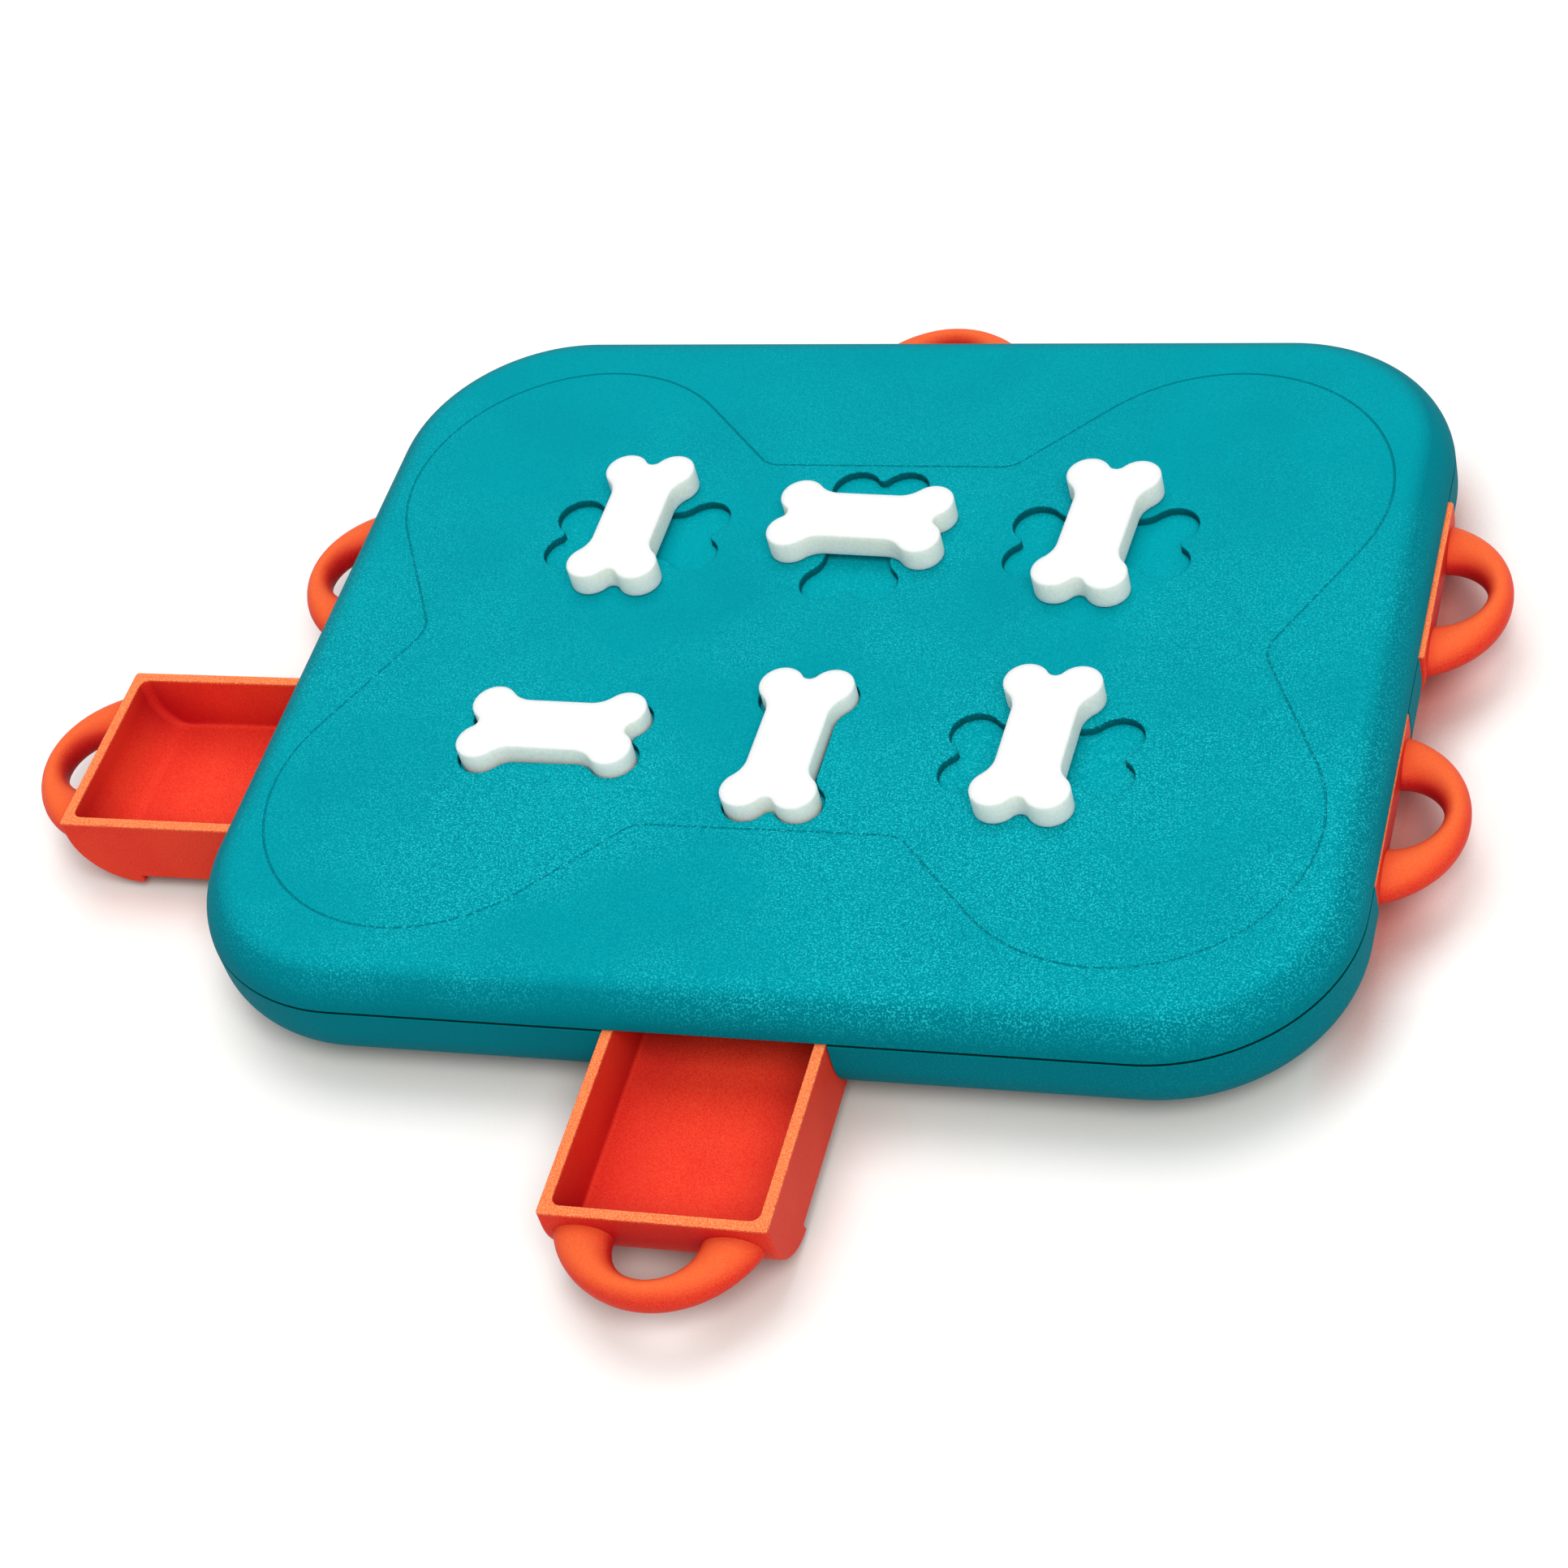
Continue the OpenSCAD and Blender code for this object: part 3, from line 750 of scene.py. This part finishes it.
WHITE = (1, 1, 1, 1)
TURQUOISE = (linear(0, 149, 164), linear(0, 156, 171))
TURQUOISE_SLOPE_SHADE = linear(0, 121, 136)
TURQUOISE_RECESS = linear(0, 160, 175)
TURQUOISE_PIT = linear(0, 122, 137)
TURQUOISE_GLINT = linear(40, 210, 220)
TURQUOISE_CORNER_SHADE = linear(0, 70, 74)
TURQUOISE_SEAM_SHADE = linear(0, 52, 52)
ORANGE = (linear(235, 40, 32), linear(241, 52, 37))
ORANGE_PAINTED_SHEEN = linear(242, 98, 50)
ORANGE_FROST_AND_GLINT = linear(255, 164, 106)
ORANGE_CORNER_SHADE = linear(176, 10, 30)
BONE_SIDE = (linear(240, 241, 230), linear(255, 255, 246))
BONE_LIT_TOP = linear(255, 253, 246)
ACETAL = (linear(222, 220, 208), linear(236, 234, 224))
ZINC = (linear(176, 178, 182), linear(208, 209, 212))
RUBBER = (linear(28, 28, 30), linear(48, 48, 50))

# Most of a noise pattern lies between these values.
NOISE_RANGE = (0.3, 0.7)
# A surface goes from steep to level between these heights of its normal.
FLOOR_SLOPE = (0.35, 0.8)
# The turquoise grain and its painted glints show more towards the front and towards the top.
GRAIN_AND_GLINT_Y = (120, -80)
GRAIN_AND_GLINT_Z = (29, 37)
SEAM_BLUR = 0.06
# The drawers get a painted sheen on upward faces towards the top, and their frosted grain a painted
# highlight near the rim.
SHEEN_Z = (12, 18)
FROST_AND_GLINT_Z = (RIM_Z - 0.9, RIM_Z - 0.2)
# How far light spreads in the bones' white plastic.
BONE_SCATTER = 4


class Finish:
    """A node material with the shader's own values and helpers for its patterns."""

    def __init__(self, name, roughness, specular=0.5, metallic=0.0, tint=WHITE):
        self.material = bpy.data.materials.new(name)
        self.material.use_nodes = True
        self.tree = self.material.node_tree
        self.shader = self.tree.nodes["Principled BSDF"]
        self.shader.inputs["Roughness"].default_value = roughness
        self.shader.inputs["Specular IOR Level"].default_value = specular
        self.shader.inputs["Specular Tint"].default_value = tint
        self.shader.inputs["Metallic"].default_value = metallic
        self.place = self.add("ShaderNodeTexCoord").outputs["Object"]

    def add(self, kind, **values):
        node = self.tree.nodes.new(kind)
        for key, value in values.items():
            setattr(node, key, value)
        return node

    def join(self, source, target):
        self.tree.links.new(source, target)

    def noise(self, size, detail=2.0, roughness=0.5):
        """Cloudy pattern whose blotches are about this many millimetres across."""
        node = self.add("ShaderNodeTexNoise")
        node.inputs["Scale"].default_value = 1 / (size * MM)
        node.inputs["Detail"].default_value = detail
        node.inputs["Roughness"].default_value = roughness
        self.join(self.place, node.inputs["Vector"])
        return node.outputs["Fac"]

    def spread(self, source, low, high, to_low=0.0, to_high=1.0):
        """The pattern with its range low to high stretched to a new range."""
        node = self.add("ShaderNodeMapRange")
        ends = (("From Min", low), ("From Max", high), ("To Min", to_low), ("To Max", to_high))
        for key, value in ends:
            node.inputs[key].default_value = value
        self.join(source, node.inputs["Value"])
        return node.outputs["Result"]

    def axis(self, name, low, high, to_low=0.0, to_high=1.0):
        """Ramp along one axis between two places in millimetres."""
        node = self.add("ShaderNodeSeparateXYZ")
        self.join(self.place, node.inputs[0])
        return self.spread(node.outputs[name], low * MM, high * MM, to_low, to_high)

    def level(self, low, high, to_low=0.0, to_high=1.0):
        """Ramp from steep faces to level ones, by the height of the surface's normal."""
        normal = self.add("ShaderNodeSeparateXYZ")
        self.join(self.add("ShaderNodeNewGeometry").outputs["Normal"], normal.inputs[0])
        return self.spread(normal.outputs["Z"], low, high, to_low, to_high)

    def lit(self, reach, low, high, floors=1.0):
        """1 in the open, down to 0 on steep faces in the piece's own corners, but less so on floors."""
        corner = self.add("ShaderNodeAmbientOcclusion", samples=4, only_local=True)
        corner.inputs["Distance"].default_value = reach * MM
        most = self.add("ShaderNodeMath", operation="MAXIMUM")
        self.join(self.spread(corner.outputs["AO"], low, high), most.inputs[0])
        self.join(self.level(*FLOOR_SLOPE, 0, floors), most.inputs[1])
        return most.outputs[0]

    def times(self, first, second):
        node = self.add("ShaderNodeMath", operation="MULTIPLY")
        self.join(first, node.inputs[0])
        self.join(second, node.inputs[1])
        return node.outputs[0]

    def blend(self, factor, first, second):
        node = self.add("ShaderNodeMix", data_type="RGBA")
        self.join(factor, node.inputs["Factor"])
        for value, socket in ((first, node.inputs["A"]), (second, node.inputs["B"])):
            if isinstance(value, tuple):
                socket.default_value = value
            else:
                self.join(value, socket)
        return node.outputs["Result"]

    def colour(self, source):
        self.join(source, self.shader.inputs["Base Color"])

    def rough(self, source):
        self.join(source, self.shader.inputs["Roughness"])

    def mottle(self, pattern, colours, smooth, coarse):
        """Gives the surface a colour and a roughness that follow one pattern."""
        self.colour(self.blend(self.spread(pattern, *NOISE_RANGE), *colours))
        self.rough(self.spread(pattern, *NOISE_RANGE, smooth, coarse))

    def bump(self, height, depth, strength):
        """Raises the surface by a pattern, to this depth in millimetres."""
        node = self.add("ShaderNodeBump")
        node.inputs["Distance"].default_value = depth * MM
        node.inputs["Strength"].default_value = strength
        self.join(height, node.inputs["Height"])
        self.join(node.outputs["Normal"], self.shader.inputs["Normal"])


def shell_finish():
    """Turquoise moulded plastic with a fine eroded texture, with painted glints on its grains in
    patches, and painted shade on its steep faces, in its corners and in its seam.
    """
    finish = Finish("turquoise_plastic", 0.65, 0.04, tint=(0.05, 0.85, 1, 1))
    cloud = finish.spread(finish.noise(38, 3), *NOISE_RANGE)
    base = finish.blend(cloud, *TURQUOISE)
    # painted shade: steep faces, such as the rolled edges and sides, are darker
    base = finish.blend(finish.level(0.84, 1), TURQUOISE_SLOPE_SHADE, base)
    recess_z = TOP_Z - RECESS_DEPTH
    low = finish.axis("Z", recess_z + 0.3, recess_z + 0.1)
    base = finish.blend(finish.times(low, finish.level(0.9, 0.99)), base, TURQUOISE_RECESS)
    grain = finish.noise(0.62, 3, 0.75)
    # the grains and their painted glints show on the top, most of all towards the front
    forward = finish.axis("Y", *GRAIN_AND_GLINT_Y, 0.2, 1)
    patches = finish.times(forward, finish.spread(finish.noise(55, 2), 0.38, 0.58, 0.25, 1))
    patches = finish.times(patches, finish.axis("Z", *GRAIN_AND_GLINT_Z, 0.15, 1))
    pits = finish.times(finish.spread(grain, 0.54, 0.36), finish.spread(patches, 0, 1, 0.3, 0.9))
    base = finish.blend(pits, base, TURQUOISE_PIT)
    # painted glints: light flecks on the grain, strongest in the patches
    glint = finish.spread(finish.noise(0.5, 1), 0.5, 0.7, 0, 0.85)
    base = finish.blend(finish.times(glint, patches), base, TURQUOISE_GLINT)
    # painted shade in the piece's own corners and hollows
    shaded = finish.blend(finish.lit(7, 0.5, 0.88), TURQUOISE_CORNER_SHADE, base)
    # painted shade: a dark band in the seam's gap between cover and tray
    ledge_z = SEAM_Z - SEAM_GAP
    above = finish.axis("Z", ledge_z - SEAM_BLUR, ledge_z)
    seam = finish.times(above, finish.axis("Z", SEAM_Z + SEAM_BLUR, SEAM_Z))
    finish.colour(finish.blend(seam, shaded, TURQUOISE_SEAM_SHADE))
    finish.rough(finish.spread(grain, *NOISE_RANGE, 0.56, 0.74))
    finish.bump(grain, 0.10, 0.5)
    return finish.material


def drawer_finish():
    """Orange moulded plastic, satin, frosted, with a painted sheen on its upper faces, a painted
    highlight on the grain near the rim and painted shade, deeper red, in its corners.
    """
    finish = Finish("orange_plastic", 0.42, 0.06, tint=(1, 0.8, 0.6, 1))
    grain = finish.noise(0.42, 3, 0.75)
    cloud = finish.spread(finish.noise(16, 2), *NOISE_RANGE)
    base = finish.blend(cloud, *ORANGE)
    # painted sheen on upward faces from handle height up
    sheen = finish.times(finish.level(0.25, 0.95), finish.axis("Z", *SHEEN_Z))
    base = finish.blend(sheen, base, ORANGE_PAINTED_SHEEN)
    # frosted grain everywhere, with a painted highlight that makes it lighter near the rim
    frost_and_glint = finish.times(finish.spread(grain, 0.40, 0.62), finish.axis("Z", *FROST_AND_GLINT_Z, 0.16, 1))
    base = finish.blend(frost_and_glint, base, ORANGE_FROST_AND_GLINT)
    # painted shade, deeper red, in the drawer's own corners and hollows
    finish.colour(finish.blend(finish.lit(22, 0.4, 0.9, 0.6), ORANGE_CORNER_SHADE, base))
    finish.rough(finish.spread(grain, *NOISE_RANGE, 0.34, 0.56))
    finish.bump(grain, 0.08, 0.5)
    return finish.material


def bone_finish():
    """White moulded plastic, faintly translucent, with a fine mottled grain on its steep faces, and
    painted an even near-white on its top faces, where the light falls full.
    """
    finish = Finish("white_plastic", 0.55, 0.2)
    grain = finish.noise(1.1, 3, 0.7)
    mottled = finish.blend(finish.spread(grain, 0.36, 0.64), *BONE_SIDE)
    # painted light: level top faces get an even near-white in place of the mottle
    finish.colour(finish.blend(finish.level(0.4, 0.9), mottled, BONE_LIT_TOP))
    finish.rough(finish.spread(grain, *NOISE_RANGE, 0.45, 0.65))
    finish.shader.inputs["Subsurface Weight"].default_value = 1
    finish.shader.inputs["Subsurface Radius"].default_value = (1, 0.95, 0.8)
    finish.shader.inputs["Subsurface Scale"].default_value = BONE_SCATTER * MM
    finish.bump(grain, 0.10, 0.5)
    return finish.material


def cam_finish():
    """Natural acetal, waxy and slightly mottled."""
    finish = Finish("acetal", 0.38)
    finish.mottle(finish.noise(3, 3), ACETAL, 0.32, 0.46)
    finish.bump(finish.noise(0.6), 0.03, 0.4)
    return finish.material


def screw_finish():
    """Zinc-plated steel with a faintly clouded plating."""
    finish = Finish("zinc_steel", 0.3, 0.5, 1.0)
    cloud = finish.noise(1.2, 4, 0.6)
    finish.mottle(cloud, ZINC, 0.22, 0.4)
    finish.bump(cloud, 0.01, 0.5)
    return finish.material


def foot_finish():
    """Dark rubber with a matt pebbled skin."""
    finish = Finish("foot_rubber", 0.85, 0.3)
    grain = finish.noise(0.5, 3, 0.6)
    finish.mottle(grain, RUBBER, 0.75, 0.92)
    finish.bump(grain, 0.06, 0.6)
    return finish.material


def dress_cad_nodes():
    """Materials for the CAD nodes that show as they are."""
    cam, steel, rubber = cam_finish(), screw_finish(), foot_finish()
    for name, node in frame["nodes"].items():
        if name.startswith("foot"):
            material = rubber
        elif "screw" in name:
            material = steel
        elif name.startswith("cam"):
            material = cam
        else:
            continue
        node.data.materials.clear()
        node.data.materials.append(material)


# ---- floor, lights and camera ----

FLOOR_SIZE = 8
LIT_FLOOR = 0.52
FLOOR_SHADE = (0.60, 0.57, 0.54, 1)
WARM_SHADE = (0.5, 0.06, 0.03, 1)
FLOOR_REACH = 24
FLOOR_CLEAR = (0.12, 0.8)
WARM_X = (HALF_W - 14, HALF_W - 2)
AMBIENT = 0.38
FRONT_FROM = (0.42, -0.6, 1)
FRONT_ANGLE = 36
FRONT_STRENGTH = 1.9
FRONT_COLOUR = (1, 0.97, 0.91)
BACK_FROM = (-0.12, 0.4, 1)
BACK_ANGLE = 36
BACK_STRENGTH = 0.93
CAMERA_PLACE = (0.30467, -0.64782, 0.68745)
CAMERA_TARGET = (0.001144, -0.053713, 0.037121)
CAMERA_ROLL = -17.325
CAMERA_LENS = 81.463
SENSOR = 36


def camera_only(tree, socket, seen_value, other_value):
    """Gives a socket one value for camera, glossy and transmitted rays, and another for the rest."""
    path = tree.nodes.new("ShaderNodeLightPath")
    seen = path.outputs["Is Camera Ray"]
    for other in ("Is Glossy Ray", "Is Transmission Ray"):
        either = tree.nodes.new("ShaderNodeMath")
        either.operation = "MAXIMUM"
        tree.links.new(seen, either.inputs[0])
        tree.links.new(path.outputs[other], either.inputs[1])
        seen = either.outputs[0]
    pick = tree.nodes.new("ShaderNodeMapRange")
    pick.inputs["To Min"].default_value = other_value
    pick.inputs["To Max"].default_value = seen_value
    tree.links.new(seen, pick.inputs["Value"])
    tree.links.new(pick.outputs["Result"], socket)


def world():
    scene_world = bpy.data.worlds.new("studio")
    scene_world.use_nodes = True
    bpy.context.scene.world = scene_world
    background = scene_world.node_tree.nodes["Background"]
    background.inputs["Color"].default_value = WHITE
    camera_only(scene_world.node_tree, background.inputs["Strength"], 1, AMBIENT)


def floor():
    """White floor whose contact shadows close to the object are deepened with painted shadow, with a
    painted red bounce at its right.
    """
    data = bpy.data.meshes.new("floor")
    half = FLOOR_SIZE / 2
    corners = [(x, y, 0) for x, y in rectangle(-half, half, -half, half)]
    data.from_pydata(corners, [], [(0, 1, 2, 3)])
    plane = bpy.data.objects.new("floor", data)
    bpy.context.scene.collection.objects.link(plane)
    finish = Finish("white_floor", 0.9, 0)
    # painted contact shadow: darker where the object comes close
    near = finish.add("ShaderNodeAmbientOcclusion", samples=6)
    near.inputs["Distance"].default_value = FLOOR_REACH * MM
    clear = finish.spread(near.outputs["AO"], *FLOOR_CLEAR)
    neutral = finish.blend(clear, FLOOR_SHADE, WHITE)
    warm = finish.blend(finish.times(clear, finish.spread(clear, 0, 1, 0.4, 1)), WARM_SHADE, WHITE)
    # painted red bounce light from the drawers at the floor's right
    seen = finish.blend(finish.axis("X", *WARM_X), neutral, warm)
    pick = finish.add("ShaderNodeMix", data_type="RGBA")
    pick.inputs["A"].default_value = (LIT_FLOOR, LIT_FLOOR, LIT_FLOOR, 1)
    finish.join(seen, pick.inputs["B"])
    camera_only(finish.tree, pick.inputs["Factor"], 1, 0)
    finish.colour(pick.outputs["Result"])
    data.materials.append(finish.material)


def soft_sun(name, place, angle, strength, colour=(1, 1, 1)):
    """An even light from one side, with shadows as soft as a large softbox makes them."""
    light = bpy.data.lights.new(name, "SUN")
    light.angle = math.radians(angle)
    light.energy = strength
    light.color = colour
    lamp = bpy.data.objects.new(name, light)
    lamp.location = place
    lamp.rotation_euler = (-Vector(place)).to_track_quat("-Z", "Y").to_euler()
    bpy.context.scene.collection.objects.link(lamp)


def camera():
    data = bpy.data.cameras.new("camera")
    data.sensor_fit = "HORIZONTAL"
    data.sensor_width = SENSOR
    data.lens = CAMERA_LENS
    view = bpy.data.objects.new("camera", data)
    view.location = CAMERA_PLACE
    look = (Vector(CAMERA_TARGET) - Vector(CAMERA_PLACE)).to_track_quat("-Z", "Y").to_matrix()
    view.rotation_euler = (look @ Matrix.Rotation(math.radians(CAMERA_ROLL), 3, "Z")).to_euler()
    bpy.context.scene.collection.objects.link(view)
    bpy.context.scene.camera = view


shell_plastic = shell_finish()
top_cover(shell_plastic)
base_tray(shell_plastic)
drawers(drawer_finish())
white_plastic = bone_finish()
for lock_name, (lock_x, lock_y, lock_turn) in LOCKS.items():
    bone(lock_name, lock_x, lock_y, lock_turn, white_plastic)
dress_cad_nodes()
world()
floor()
soft_sun("front light", FRONT_FROM, FRONT_ANGLE, FRONT_STRENGTH, FRONT_COLOUR)
soft_sun("back light", BACK_FROM, BACK_ANGLE, BACK_STRENGTH)
camera()
bpy.context.scene.view_settings.view_transform = "Standard"
